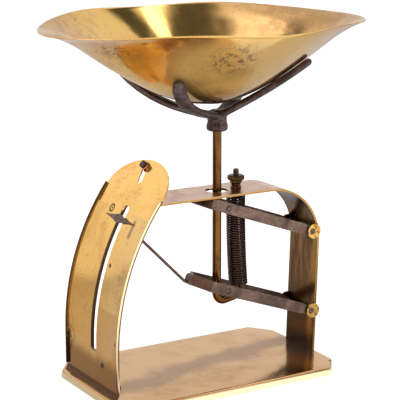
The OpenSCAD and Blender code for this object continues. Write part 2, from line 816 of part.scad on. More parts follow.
module lower_yoke() {
    color("rosybrown") lever_frame(lower_pivot_z) difference() {
        yoke(run_gap);
        translate([-nose_reach, 0, -wire_drop]) rotate([0, 90, 0])
            cylinder(d = pointer_wire_d + 2 * fixed_gap, h = 2 * wire_seat, center = true);
        nose_rivet_frame() cross_bar(nose_rivet_d + 2 * fixed_gap, through);
    }
}

// The upper yoke is relieved where it would meet the bar: that face is its rest stop
module upper_yoke() {
    color("rosybrown") difference() {
        lever_frame(upper_pivot_z) yoke(open_gap);
        block([rod_x - through, -through, bar_under - stop_gap], [rod_x, through, bar_top + through]);
    }
}

module nose_rivet_frame() {
    translate([nose_rivet_inset - nose_reach, 0, nose_rivet_rise]) children();
}

module nose_rivet() {
    color("dimgray") lever_frame(lower_pivot_z) nose_rivet_frame() {
        cross_bar(nose_rivet_d, nose_wid);
        for (side = [-1, 1]) translate([0, side * nose_half, 0]) rotate([-90 * side, 0, 0])
            cylinder(d1 = nose_rivet_head_d, d2 = nose_rivet_d, h = nose_rivet_head_high);
    }
}

// Wire through the points, which swells a hair where it is bent
module bent_wire(points, d) {
    for (i = [0 : len(points) - 2]) {
        run = points[i + 1] - points[i];
        translate(points[i]) rotate([0, acos(run[2] / norm(run)), atan2(run[1], run[0])])
            cylinder(d = d, h = norm(run));
    }
    for (i = [1 : len(points) - 2]) translate(points[i]) sphere(d = d + wire_swell);
}

module pointer_wire() {
    reach = dial_front_r + pointer_gap - wire_stop;
    bend = nose_reach + wire_lead;
    color("dimgray") lever_frame(lower_pivot_z) bent_wire([
        [wire_seat - nose_reach - spill, 0, -wire_drop],
        [-bend, 0, -wire_drop],
        [-reach * cos(pointer_lead), pointer_y, reach * sin(pointer_lead)]
    ], pointer_wire_d);
}

// Star of four points with hollow sides
module pointer() {
    color("dimgray") dial_frame(pointer_deg) translate([dial_front_r + pointer_gap, 0, pointer_y])
        rotate([90, 0, 90]) linear_extrude(pointer_thick)
            polygon([for (turn = [0 : star_step : 360 - star_step])
                [pointer_high / 2 * hollow(cos(turn)), pointer_wid / 2 * hollow(sin(turn))]]);
}
function hollow(v) = sign(v) * pow(abs(v), pointer_hollow);

module plunger_rod() {
    color("darkgoldenrod") difference() {
        union() {
            translate([rod_x, 0, hook_z]) rod_run(hub_z + rod_seat - hook_z);
            hook_bend(rod_x + hook_r, hook_z, 180, hook_turn);
            translate([hook_mid_x, 0, hook_mid_z])
                rotate([0, 90 - hook_rise, 0]) rod_run(hook_run + bend_lap);
            hook_bend(tip_bend_x, tip_bend_z, 180 + hook_turn, 180 - hook_turn);
            translate([tip_x, 0, tip_bend_z]) rod_run(coil_low + hook_cover - tip_bend_z);
        }
        for (z = [lower_pin_z, upper_pin_z])
            translate([rod_x, 0, z]) cross_bar(pin_d + 2 * fixed_gap, through);
        translate([tip_x, 0, coil_low]) cross_bar(coil_wire + 2 * wire_gap, through);
    }
}

// Straight run of the rod, which starts inside the bend before it
module rod_run(len) {
    translate([0, 0, -bend_lap]) cylinder(d = rod_d, h = len + bend_lap);
}

// The rod swells a hair where it is bent
module hook_bend(x, z, start, turn) {
    translate([x, 0, z]) rotate([90, 0, 0]) rotate([0, 0, start]) rotate_extrude(angle = turn)
        translate([hook_r, 0]) circle(d = rod_d + bend_swell);
}

// Middle line of the spring, from below: straight through the hook, an arc out to the
// coil, the curls, an arc back in and straight through the screw. The coil's axis drifts
// from the screw to the hook as it goes down.
function coil_axis_x(z) =
    screw_x + (tip_x - screw_x) * pow((coil_top - z) / (coil_top - coil_low), coil_drift);
function coil_point(share) =
    let (z = coil_low + share * (coil_top - coil_low), turn = 180 - end_turn + share * coil_span)
    [coil_axis_x(z) + coil_r * cos(turn), coil_r * sin(turn), z];
function end_arc(x, z, side, i) = let (turn = (180 - end_turn) * i / end_steps)
    [x - end_r * (1 - cos(turn)), side * (end_y + end_r * sin(turn)), z];
coil_line = concat(
    [[tip_x, -rod_d / 2 - end_out, coil_low]],
    [for (i = [0 : end_steps - 1]) end_arc(tip_x, coil_low, 1, i)],
    [for (i = [0 : coil_rings]) coil_point(i / coil_rings)],
    [for (i = [end_steps - 1 : -1 : 0]) end_arc(screw_x, coil_top, -1, i)],
    [[screw_x, screw_d / 2 + end_out, coil_top]]);
coil_count = len(coil_line);

function coil_ring(i) =
    let (before = coil_line[max(0, i - 1)], after = coil_line[min(coil_count - 1, i + 1)],
         along = unit(after - before), side = unit(cross(along, [0, 0, 1])), up = cross(along, side))
    [for (j = [0 : wire_sides - 1]) let (turn = j * 360 / wire_sides)
        coil_line[i] + coil_wire / 2 * (side * cos(turn) + up * sin(turn))];

module spring() {
    echo(spring_least_gap = min([
        for (i = [0 : coil_count - 1 - next_rings], j = [next_rings : near_rings])
            if (i + j < coil_count) norm(coil_line[i] - coil_line[i + j]) - coil_wire]));
    color("black") skin([for (i = [0 : coil_count - 1]) coil_ring(i)]);
}

module spring_screw() {
    low = coil_top - screw_tail;
    color("dimgray") difference() {
        translate([screw_x, 0, low]) cylinder(d = screw_d, h = screw_top - low);
        translate([screw_x, 0, coil_top]) cross_bar(coil_wire + 2 * wire_gap, through);
    }
}

module adjusting_nut() {
    color("dimgray") translate([screw_x, 0, nut_z]) difference() {
        union() {
            cylinder(d = shoulder_d, h = shoulder_high);
            translate([0, 0, shoulder_high]) round_rim();
        }
        translate([0, 0, -spill])
            cylinder(d = screw_d + 2 * run_gap, h = shoulder_high + nut_high + 2 * spill);
    }
}

module round_rim() {
    rotate_extrude() {
        square([nut_d / 2 - nut_edge, nut_high]);
        translate([0, nut_edge]) square([nut_d / 2, nut_high - 2 * nut_edge]);
        for (z = [nut_edge, nut_high - nut_edge]) translate([nut_d / 2 - nut_edge, z]) circle(r = nut_edge);
    }
}

module collar_rings() {
    color("darkgoldenrod") for (i = [0, 1]) translate([screw_x, 0, bar_top + i * ring_high]) difference() {
        cylinder(d = ring_d - i * ring_step, h = ring_high);
        translate([0, 0, -spill]) cylinder(d = screw_d + 2 * seat_gap, h = ring_high + 2 * spill);
    }
}

// Underside of the pan, by share s of the way out and direction a from its middle
function pan_rim_r(a) = pow(
    pow(abs(cos(a)) / (pan_len / 2), pan_full) + pow(abs(sin(a)) / (pan_wid / 2), pan_full), -1 / pan_full);
function pan_rim_rise(a) = pan_deep - pan_dip_ends * cos(2 * a) - pan_dip_quarters * cos(4 * a);
function pan_bowl(s) = pow(
    (sqrt(s * s + pan_round * pan_round) - pan_round) / (sqrt(1 + pan_round * pan_round) - pan_round),
    pan_power);
function pan_lip(s) = pow(max(0, (s - pan_lip_start) / (1 - pan_lip_start)), 2);
function pan_rise(s, a) = let (q = pan_flare + pan_end_flare * cos(2 * a))
    pan_rim_rise(a) * (pan_bowl(s) - q * pan_lip(s)) / (1 - q);
function pan_point(s, a) =
    let (r = s * pan_rim_r(a), x = r * cos(a + pan_turn), y = r * sin(a + pan_turn))
    [rod_x + pan_shift_x + x, pan_shift_y + y,
     pan_z + pan_rise(s, a) + y * tan(pan_tilt_far) - x * tan(pan_tilt_post)];
function pan_normal(s, a) = unit(cross(
    pan_point(s + 0.01, a) - pan_point(s - 0.01, a), pan_point(s, a + 1) - pan_point(s, a - 1)));
function pan_place(x, y) =
    let (dx = x - rod_x - pan_shift_x, dy = y - pan_shift_y, a = atan2(dy, dx) - pan_turn)
    [norm([dx, dy]) / pan_rim_r(a), a];

module pan() {
    shares = [0.06, 0.2, 0.34, 0.48, 0.62, 0.74, 0.84, 0.92, 1];
    steps = 64;
    color("gold") skin(concat(
        [for (s = shares) [for (i = [0 : steps - 1]) pan_point(s, i * 360 / steps)]],
        [for (j = [len(shares) - 1 : -1 : 0]) let (s = shares[j]) [for (i = [0 : steps - 1])
            let (a = i * 360 / steps) pan_point(s, a) + pan_sheet * pan_normal(s, a)]]));
}

module pan_spider() {
    collar = hub_d / 2;
    neck = collar - hub_neck_step;
    color("dimgray") difference() {
        union() {
            translate([rod_x, 0, hub_z]) rotate_extrude() polygon([
                [0, 0], [collar - hub_edge, 0], [collar, hub_edge], [collar, hub_collar_high - hub_top_edge],
                [neck, hub_collar_high], [neck, hub_high - hub_cone_high],
                [neck - hub_cone, hub_high], [0, hub_high]]);
            arm(near_right_turn, near_right_reach, near_right_knee, near_right_knee_z);
            arm(far_right_turn, far_right_reach, far_right_knee, far_right_knee_z);
            arm(far_left_turn, far_left_reach, far_left_knee, far_left_knee_z);
            arm(near_left_turn, near_left_reach, near_left_knee, near_left_knee_z);
        }
        translate([rod_x, 0, hub_z - spill])
            cylinder(d = rod_d + 2 * fixed_gap, h = rod_seat + spill + fixed_gap);
    }
}

// Cast arm: an arc from the hub past its knee to a round tip under the pan, and it rolls
// on the way so that the tip lies along the pan
module arm(turn, reach, knee, knee_high) {
    out = [cos(turn), sin(turn), 0];
    half_wid = arm_wid / 2;
    half_thick = arm_thick / 2;
    place = pan_place(rod_x + reach * out[0], reach * out[1]);
    lean = pan_normal(place[0], place[1]);
    start = [rod_x, 0, hub_z + arm_root_high] + out;
    bend = [rod_x, 0, hub_z + knee_high] + knee * out;
    tip = pan_point(place[0], place[1]) - (half_thick + arm_tip_gap) * lean;
    tip_way = unit(tip - bend);
    function at(u) = start * (1 - u) * (1 - u) + bend * 2 * u * (1 - u) + tip * u * u;
    function way(u) = unit((bend - start) * (1 - u) + (tip - bend) * u);
    stations = concat(
        [for (u = [0 : 1 / arm_steps : 1]) [at(u), way(u), norm(tip - at(u)) + half_thick, u]],
        [for (share = [0.5, 0.85, 0.99])
            [tip + share * half_thick * tip_way, tip_way, (1 - share) * half_thick, 1]]);
    skin([for (s = stations)
        let (side = unit(cross(blend([0, 0, 1], lean, s[3]), s[1])), up = cross(s[1], side),
             wid = half_wid * round_end(s[2], half_wid), thick = half_thick * round_end(s[2], half_thick))
        [for (j = [0 : arm_sides - 1]) let (a = (j + 0.5) * 360 / arm_sides)
            s[0] + side * squared(cos(a)) * wid + up * squared(sin(a)) * thick]]);
}
function round_end(rest, r) = rest > r ? 1 : sqrt(1 - pow(1 - rest / r, 2));
function squared(v) = sign(v) * pow(abs(v), arm_square);

base_tray();
frame_strap();
foot_rivets();
dial_plate();
dial_rivet();
clamp_washer();
clamp_screw();
lower_pivot_pin();
upper_pivot_pin();
lower_yoke();
upper_yoke();
nose_rivet();
pointer_wire();
pointer();
plunger_rod();
lower_cross_pin();
upper_cross_pin();
spring();
spring_screw();
adjusting_nut();
collar_rings();
pan_spider();
pan();
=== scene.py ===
import json
import math

import bmesh
import bpy
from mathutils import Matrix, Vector, noise


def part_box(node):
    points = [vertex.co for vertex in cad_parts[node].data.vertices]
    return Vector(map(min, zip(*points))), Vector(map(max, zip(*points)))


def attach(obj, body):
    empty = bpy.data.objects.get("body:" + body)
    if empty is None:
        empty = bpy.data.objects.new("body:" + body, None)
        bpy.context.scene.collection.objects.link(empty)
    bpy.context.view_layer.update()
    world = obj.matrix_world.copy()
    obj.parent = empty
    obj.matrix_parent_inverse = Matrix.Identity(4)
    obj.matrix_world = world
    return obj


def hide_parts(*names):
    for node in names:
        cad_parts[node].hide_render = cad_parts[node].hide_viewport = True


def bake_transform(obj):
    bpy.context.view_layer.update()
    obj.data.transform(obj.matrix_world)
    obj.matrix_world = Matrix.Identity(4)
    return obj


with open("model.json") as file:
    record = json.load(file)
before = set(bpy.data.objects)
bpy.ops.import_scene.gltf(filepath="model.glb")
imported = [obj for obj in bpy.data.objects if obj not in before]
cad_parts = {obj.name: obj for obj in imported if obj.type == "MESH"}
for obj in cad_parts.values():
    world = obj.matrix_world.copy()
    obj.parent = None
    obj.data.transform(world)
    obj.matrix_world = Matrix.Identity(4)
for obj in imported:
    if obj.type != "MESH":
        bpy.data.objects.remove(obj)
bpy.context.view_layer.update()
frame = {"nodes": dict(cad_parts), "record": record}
nodes = frame["nodes"]
body_of = {node: body for body, members in frame["record"]["behaviour"]["bodies"].items()
           for node in members}

MM = 0.001

# Camera, solved from the photograph's outlines
CAMERA_AT = Vector((-0.6726, -1.1380, 0.4682))
CAMERA_TARGET = Vector((0.002, 0.0, 0.15908))
CAMERA_LENS, CAMERA_SENSOR = 138.15, 36

# Places that materials and pieces line up with, from the frame's own boxes
tray_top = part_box("base_tray")[1].z
bar_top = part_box("frame_strap")[1].z
dial_low, dial_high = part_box("dial_plate")
screw_low, screw_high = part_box("spring_screw")
nut_low, nut_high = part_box("adjusting_nut")
ring_low, ring_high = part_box("collar_rings")
screw_x = (screw_low.x + screw_high.x) / 2

# The linkage: pivots, yokes and rod, as in the part's source
LOWER_PIVOT = Vector((0.108, 0, 0.046))
UPPER_PIVOT_Z = 0.1215
YOKE_LEN, YOKE_REST = 0.094, math.radians(19.8)
ROD_X = LOWER_PIVOT.x - YOKE_LEN * math.cos(YOKE_REST)
ROD_R = 4 * MM
ROD_OVER_PIN, PAN_OVER_ROD = 0.0665, 0.025

# The pan: size, fullness of its outline, turn, and how its bowl rises
PAN_LEN, PAN_WID, PAN_DEEP, PAN_SHEET = 332 * MM, 203 * MM, 71.9 * MM, 1.2 * MM
PAN_FULL, PAN_TURN = 1.77, math.radians(6.3)
PAN_ROUND, PAN_POWER, PAN_LIP_START = 0.32, 1.13, 0.77
PAN_FLARE, PAN_END_FLARE = 0.05, 0.08
PAN_DIP_ENDS, PAN_DIP_QUARTERS = 1.7 * MM, 1.9 * MM
PAN_SHIFT = Vector((-6.7 * MM, 2.5 * MM))
PAN_TILT_FAR, PAN_TILT_POST = math.tan(math.radians(1.9)), math.tan(math.radians(1.0))
PAN_Z = UPPER_PIVOT_Z + YOKE_LEN * math.sin(YOKE_REST) + ROD_OVER_PIN + PAN_OVER_ROD

# The coil: wire, middle radius, turns, pitch, and how its ends bend in to the screw and the hook
COIL_WIRE, COIL_R, COIL_TURNS, COIL_PITCH = 2.0 * MM, 7.8 * MM, 37, 2.23 * MM
COIL_TOP, COIL_FOOT_X, COIL_DRIFT = 0.160, 0.0424, 2.5
END_TURN, END_OUT, SCREW_HOLE_R = 55, 0.9 * MM, 2.85 * MM

# The adjusting screw's thread, and the bore of the nut and rings on it
THREAD_PITCH, THREAD_DEPTH, THREAD_BORE = 1.0 * MM, 0.5 * MM, 2.95 * MM

# Edges that colours follow: the slots, the strap's edges, leg and lugs, and the dial's sheet
SLOT_Y, SLOT_HALF = -3 * MM, 5.3 * MM
DIAL_SLOT_LOW, DIAL_SLOT_HIGH = 38.5 * MM, 160 * MM
STRAP_SLOT_LOW, STRAP_SLOT_HIGH = 37.5 * MM, 164 * MM
STRAP_EDGE, LEG_X, LUG_X, LUG_END_X = 22 * MM, -60 * MM, 98 * MM, 112.5 * MM
DIAL_BACK_R, DIAL_FRONT_R = 215 * MM, 216.6 * MM

# Heights where a tone changes: the pan's bottom, the dial's foot with painted shade and its
# painted reflections, the post with painted shade, and the bar's painted lit top
PAN_BOTTOM_Z = 268 * MM
DIAL_FOOT_SHADE_Z, DIAL_DARK_REFLECTION_Z, DIAL_GOLD_REFLECTION_RIGHT_Z, DIAL_GOLD_REFLECTION_LEFT_Z = (
    13.5 * MM, 42 * MM, 81.5 * MM, 100 * MM)
POST_BROWN_Z, POST_TOP_SHADE_Z, BAR_LIT_Z = 100 * MM, 135 * MM, 145 * MM

# Blemishes, painted reflections and painted shade, each a place with its radius and the width of
# its soft edge
PAN_SCUFF = (-0.012, -0.078, 0.293), 0.010, 0.018
PAN_RIM_SPOTS = (-0.106, -0.042, 0.303), 0.006, 0.016
# Painted reflection on the pan's near side, left and right of its middle
PAN_REFLECTION_LEFT = (-0.030, -0.070, 0.284), 0.018, 0.037
PAN_REFLECTION_RIGHT = (0.004, -0.070, 0.280), 0.026, 0.042
DIAL_GRIME = (-0.108, 0.046, 0.040), 0.004, 0.012
DIAL_SPOT_LOW = (-0.1073, -0.044, 0.055), 0.0014, 0.0018
DIAL_SPOT_HIGH = (-0.0958, -0.0135, 0.116), 0.0013, 0.0014
DIAL_MARK_AT, DIAL_MARK_R = (-0.0757, 0.0192, 0.158), 0.0032
DIAL_POINTER_REFLECTION_Y, DIAL_POINTER_REFLECTION_LOW, DIAL_POINTER_REFLECTION_HIGH = -26.2 * MM, 139 * MM, 157 * MM
TRAY_NOTCH_SHADE = (0.1095, -0.0548, 0.0056), 0.0028, 0.0014
TRAY_BAND_SLOPE, TRAY_BAND_Y = 0.22, -2 * MM

# The paper: how bright it is to the camera and in reflections, far and near; and its strip
PAPER = (0.86, 0.86, 0.855, 1)
PAPER_SEEN, PAPER_FAR, PAPER_NEAR, PAPER_STRIP = 1.4, 0.24, 2.4, 1.7
STRIP_FROM, STRIP_TO = -105 * MM, -70.5 * MM

# Area lights: place, size and power in watts
LIGHTS = {
    "key": ((-0.9, -0.5, 1.1), (0.9, 0.9), 9),
    "fill": ((0.9, -0.9, 0.7), (0.7, 0.7), 3),
    "back": ((0.2, 1.2, 1.0), (1.2, 0.6), 6),
}
LIGHT_TARGET = Vector((0, 0, 0.15))

# Lamps and gaps of the tent: turn and rise in degrees, inner and outer spread, brightness
TENT = (
    (66, 35, 12, 34, 0.74),
    (108, 34, 10, 30, 1.15),
    (-150, 40, 14, 34, 1.6),
    (-110, 12, 10, 40, 0.45),
    (-20, 12, 12, 36, 0.55),
    (3, 43, 4, 10, 0.08),
    (-16, 56, 5, 9, 3.6),
    (0, 86, 7, 14, 1.7),
    (-33, 70, 5, 11, 0.09),
    (85, 74, 4, 9, 0.25),
)
ROOM, PLAIN = (0.92, 0.92, 0.92, 1), 0.85
WHITE = (1, 1, 1, 1)


def add_camera():
    data = bpy.data.cameras.new("camera")
    data.lens = CAMERA_LENS
    data.sensor_width = CAMERA_SENSOR
    data.clip_start, data.clip_end = 0.05, 30
    camera = bpy.data.objects.new("camera", data)
    bpy.context.scene.collection.objects.link(camera)
    aim(camera, CAMERA_AT, CAMERA_TARGET)
    bpy.context.scene.camera = camera


def aim(obj, at, target):
    obj.location = at
    obj.rotation_mode = "QUATERNION"
    obj.rotation_quaternion = (target - at).to_track_quat("-Z", "Y")


def srgb(r, g, b):
    """Linear colour of an 8-bit display colour."""
    def linear(v):
        v /= 255
        return v / 12.92 if v <= 0.04045 else ((v + 0.055) / 1.055) ** 2.4
    return (linear(r), linear(g), linear(b), 1.0)


class Nodes:
    """Short ways to add nodes to a tree; each takes sockets or plain values."""

    def __init__(self, tree):
        self.tree = tree

    def add(self, kind):
        return self.tree.nodes.new("ShaderNode" + kind)

    def put(self, value, socket):
        if isinstance(value, bpy.types.NodeSocket):
            self.tree.links.new(value, socket)
        else:
            socket.default_value = value

    def math(self, operation, a, b=0.0, clamp=False):
        n = self.add("Math")
        n.operation = operation
        n.use_clamp = clamp
        self.put(a, n.inputs[0])
        self.put(b, n.inputs[1])
        return n.outputs[0]

    def times(self, *values):
        out = values[0]
        for v in values[1:]:
            out = self.math("MULTIPLY", out, v)
        return out

    def largest(self, *values):
        out = values[0]
        for v in values[1:]:
            out = self.math("MAXIMUM", out, v)
        return out

    def off(self, value, middle):
        """How far a value is from a middle."""
        return self.math("ABSOLUTE", self.math("SUBTRACT", value, middle))

    def length(self, a, b):
        return self.math("SQRT", self.math("ADD", self.times(a, a), self.times(b, b)))

    def step(self, value, low, high, to_low=0.0, to_high=1.0):
        """Smooth step of a value, from to_low at low to to_high at high."""
        n = self.add("MapRange")
        n.interpolation_type = "SMOOTHSTEP"
        for name, number in (("Value", value), ("From Min", low), ("From Max", high),
                             ("To Min", to_low), ("To Max", to_high)):
            self.put(number, n.inputs[name])
        return n.outputs[0]

    def above(self, value, edge, soft):
        """0 up to an edge, rising to 1 over soft."""
        return self.step(value, edge, edge + soft)

    def below(self, value, edge, soft):
        """0 down to an edge, rising to 1 over soft."""
        return self.step(value, edge, edge - soft)

    def within(self, value, reach, soft):
        """1 up to a reach, fading to 0 over soft."""
        return self.step(value, reach, reach + soft, 1.0, 0.0)

    def mix(self, share, a, b):
        n = self.add("Mix")
        n.data_type = "RGBA"
        self.put(share, n.inputs[0])
        self.put(a, n.inputs[6])
        self.put(b, n.inputs[7])
        return n.outputs[2]

    def mix_shader(self, share, a, b):
        n = self.add("MixShader")
        self.put(share, n.inputs[0])
        self.put(a, n.inputs[1])
        self.put(b, n.inputs[2])
        return n.outputs[0]

    def vector_math(self, operation, a, b):
        n = self.add("VectorMath")
        n.operation = operation
        self.put(a, n.inputs[0])
        self.put(b, n.inputs[1])
        return n.outputs["Value"]


class Graph(Nodes):
    """A material's nodes around one Principled shader, in the object's own coordinates."""

    def __init__(self, name, metallic=1.0):
        self.material = bpy.data.materials.new(name)
        self.material.use_nodes = True
        super().__init__(self.material.node_tree)
        self.shader = self.tree.nodes["Principled BSDF"]
        self.shader.inputs["Metallic"].default_value = metallic
        self.where = self.add("TexCoord").outputs["Object"]
        split = self.add("SeparateXYZ")
        self.put(self.where, split.inputs[0])
        self.x, self.y, self.z = split.outputs

    def noise(self, size, detail, rough, seed, stretch=(1, 1, 1), warp=0.0):
        """Noise whose features are about size metres across."""
        moved = self.add("Mapping")
        self.put(self.where, moved.inputs["Vector"])
        self.put((seed * 1.7, seed * 2.3, seed * 3.1), moved.inputs["Location"])
        self.put(stretch, moved.inputs["Scale"])
        n = self.add("TexNoise")
        for name, value in (("Vector", moved.outputs[0]), ("Scale", 1 / size), ("Detail", detail),
                            ("Roughness", rough), ("Distortion", warp)):
            self.put(value, n.inputs[name])
        return n.outputs["Fac"]

    def patches(self, size, detail, rough, seed, low, high, **more):
        """Soft-edged patches, where the noise is over low to high."""
        return self.step(self.noise(size, detail, rough, seed, **more), low, high)

    def distance(self, point):
        return self.vector_math("DISTANCE", self.where, point)

    def near(self, point, radius, soft):
        """1 within radius of a point, fading to 0 over soft."""
        return self.within(self.distance(point), radius, soft)

    def facing(self, direction):
        """1 where the surface, before any bump, faces a direction."""
        normal = self.add("TexCoord").outputs["Normal"]
        return self.step(self.vector_math("DOT_PRODUCT", normal, direction), 0.02, 0.12)

    def across_slot(self):
        """1 within the width of the slots of dial and strap."""
        return self.within(self.off(self.y, SLOT_Y), SLOT_HALF, 0.15 * MM)

    def paint(self, colour, *coats):
        """The colour under coats of (mask, share, display colour), laid in order."""
        for mask, share, tone in coats:
            colour = self.mix(self.times(mask, share), colour, srgb(*tone))
        return colour

    def bump(self, height, distance, strength, after=None):
        n = self.add("Bump")
        self.put(distance, n.inputs["Distance"])
        self.put(strength, n.inputs["Strength"])
        self.put(height, n.inputs["Height"])
        if after is not None:
            self.put(after, n.inputs["Normal"])
        return n.outputs["Normal"]

    def finish(self, colour, roughness, normal):
        self.put(colour, self.shader.inputs["Base Color"])
        self.put(roughness, self.shader.inputs["Roughness"])
        self.put(normal, self.shader.inputs["Normal"])
        return self.material


def aged(g, tones, cover, patch, spots, seed):
    """Clean metal under clouds of patina with dark specks; returns the colour and both shares."""
    clean, patina, dark = (srgb(*tone) for tone in tones)
    cloud = g.patches(patch, 6, 0.6, seed, 0.62 - cover * 0.35, 0.78 - cover * 0.2, warp=0.6)
    fine = g.noise(patch / 7, 5, 0.7, seed + 3)
    share = g.times(cloud, g.step(fine, 0.25, 0.75, 0.3, 1.0))
    speck = g.times(g.patches(patch / 16, 2, 0.5, seed + 7, spots, spots + 0.06),
                    g.patches(patch * 0.8, 3, 0.5, seed + 9, 0.48, 0.62))
    return g.mix(speck, g.mix(share, clean, patina), dark), share, speck


def worn_normal(g, seed, dents, grain=0.000012):
    """Shallow waves of hand-worked sheet under fine scratches."""
    waves = g.bump(g.noise(0.05, 2, 0.5, seed + 11), dents, 0.35)
    return g.bump(g.noise(0.0009, 3, 0.6, seed + 13), grain, 0.5, after=waves)


def brass(name, *tones, rough, cover, patch, seed, dents, spots=0.66):
    """Aged brass from its clean, patina and dark tones; rough is its least and most roughness."""
    g = Graph(name)
    colour, share, speck = aged(g, tones, cover, patch, spots, seed)
    least, most = rough
    base = g.step(g.noise(patch * 0.6, 5, 0.6, seed + 2), 0.3, 0.7, least, (least + most) / 2)
    worn = g.math("ADD", base, g.times(share, (most - least) / 2))
    roughness = g.math("ADD", worn, g.times(speck, 0.25), clamp=True)
    return g, colour, roughness, worn_normal(g, seed, dents)


def pan_material():
    g, colour, roughness, normal = brass(
        "pan_brass", (240, 194, 112), (222, 172, 96), (104, 66, 34),
        rough=(0.09, 0.17), cover=0.4, patch=0.05, spots=0.68, seed=1, dents=0.0007)
    scuffs = g.largest(g.times(g.near(*PAN_SCUFF), g.patches(0.005, 5, 0.7, 31, 0.46, 0.6)),
                       g.times(g.near(*PAN_RIM_SPOTS), g.patches(0.0025, 4, 0.6, 35, 0.52, 0.6)))
    left = g.times(g.below(g.x, -30 * MM, 60 * MM), g.patches(0.010, 6, 0.75, 33, 0.4, 0.66))
    right = g.times(g.above(g.x, 75 * MM, 45 * MM), g.patches(0.014, 6, 0.7, 36, 0.36, 0.6))
    ends = g.largest(g.below(g.x, -85 * MM, 35 * MM), g.above(g.x, 50 * MM, 40 * MM))
    speckle = g.times(g.patches(0.0022, 4, 0.65, 37, 0.56, 0.66),
                      g.patches(0.03, 3, 0.5, 38, 0.42, 0.6))
    bottom = g.below(g.z, PAN_BOTTOM_Z, 15 * MM)
    colour = g.paint(
        colour,
        (ends, 0.55, (222, 172, 126)),
        (speckle, 0.35, (150, 98, 50)),
        (bottom, 0.6, (132, 86, 34)),
        (left, 0.4, (168, 116, 74)),
        (right, 0.4, (160, 112, 78)),
        (scuffs, 0.75, (104, 66, 44)))
    worn = g.largest(scuffs, left, right)
    roughness = g.math("ADD", roughness, g.times(worn, 0.14), clamp=True)
    # Painted reflection: the near side's lower middle is made less metallic, so it shows its own
    # colour evenly lit in place of a reflection
    painted_reflection = g.largest(g.near(*PAN_REFLECTION_LEFT), g.near(*PAN_REFLECTION_RIGHT))
    g.put(g.math("SUBTRACT", 1.0, g.times(painted_reflection, 0.85)), g.shader.inputs["Metallic"])
    return g.finish(colour, roughness, normal)


def dial_material():
    g, colour, roughness, normal = brass(
        "dial_brass", (243, 193, 112), (224, 168, 92), (112, 70, 38),
        rough=(0.16, 0.27), cover=0.5, patch=0.028, spots=0.64, seed=2, dents=0.0003)
    blotch = g.times(g.patches(0.004, 5, 0.7, 43, 0.52, 0.66),
                     g.patches(0.022, 3, 0.5, 44, 0.5, 0.62))
    # The plate is an arc about the lower pivot
    radius = g.length(g.math("SUBTRACT", g.x, LOWER_PIVOT.x),
                      g.math("SUBTRACT", g.z, LOWER_PIVOT.z))
    # Painted reflections: darker towards the bottom, and golden bands low on the near and the far
    # side
    low = g.below(g.z, DIAL_DARK_REFLECTION_Z, 15 * MM)
    gold_reflection_right = g.times(g.below(g.z, DIAL_GOLD_REFLECTION_RIGHT_Z, 4 * MM), g.below(g.y, -7.5 * MM, MM))
    gold_reflection_left = g.times(g.below(g.z, DIAL_GOLD_REFLECTION_LEFT_Z, 6 * MM), g.above(g.y, 1.5 * MM, MM))
    # Painted shade at the plate's foot, where it meets the tray
    foot = g.below(g.z, DIAL_FOOT_SHADE_Z, 2 * MM)
    # Painted reflection of the pointer's tip: a dark mauve streak below it
    pointer_reflection = g.times(g.within(g.off(g.y, DIAL_POINTER_REFLECTION_Y), 1.2 * MM, 1.8 * MM),
                   g.above(g.z, DIAL_POINTER_REFLECTION_LOW, 4 * MM), g.below(g.z, DIAL_POINTER_REFLECTION_HIGH, 3 * MM))
    # Painted highlight on the near lip's outer face, with painted shade in lines at its fold and
    # its front edge
    near_lip = g.below(g.y, dial_low.y + 0.3 * MM, 0.2 * MM)
    lip_shade_lines = g.largest(g.below(radius, DIAL_BACK_R + 0.1 * MM, 0.3 * MM),
                       g.above(radius, DIAL_FRONT_R, 0.2 * MM))
    # Painted shade on the far lip's inner face
    far_lip_shade = g.times(g.above(g.y, dial_high.y - 1.6 * MM, 0.5 * MM),
                      g.above(radius, DIAL_BACK_R - 0.1 * MM, 0.3 * MM))
    # Painted shade on the slot's walls
    slot_shade = g.times(g.across_slot(), g.below(g.z, DIAL_SLOT_HIGH, 2 * MM),
                   g.above(g.z, DIAL_SLOT_LOW, 2.5 * MM))
    grime_and_shade = g.times(g.near(*DIAL_GRIME), g.patches(0.004, 5, 0.7, 41, 0.4, 0.56))
    # The small mark by the pointer is a dot in a ring
    from_mark = g.distance(DIAL_MARK_AT)
    mark = g.largest(g.within(from_mark, 0.9 * MM, 0.4 * MM),
                     g.within(g.off(from_mark, DIAL_MARK_R), 0.6 * MM, 0.4 * MM))
    # Dark coat: grime, spots and the mark, with painted shade on the slot's walls and the far lip
    dark = g.largest(grime_and_shade, g.near(*DIAL_SPOT_LOW), g.near(*DIAL_SPOT_HIGH), mark, slot_shade, far_lip_shade)
    colour = g.paint(
        colour,
        (blotch, 0.55, (150, 96, 52)),
        (gold_reflection_right, 0.5, (202, 138, 58)),
        (gold_reflection_left, 0.4, (206, 146, 66)),
        (low, 0.85, (140, 90, 34)),
        (foot, 0.85, (72, 45, 22)),
        (pointer_reflection, 0.65, (104, 66, 60)),
        (near_lip, 0.5, (255, 240, 206)),
        (g.times(near_lip, lip_shade_lines), 0.9, (60, 40, 26)),
        (dark, 0.93, (52, 32, 22)))
    roughness = g.math("ADD", roughness, g.times(dark, 0.2), clamp=True)
    return g.finish(colour, roughness, normal)


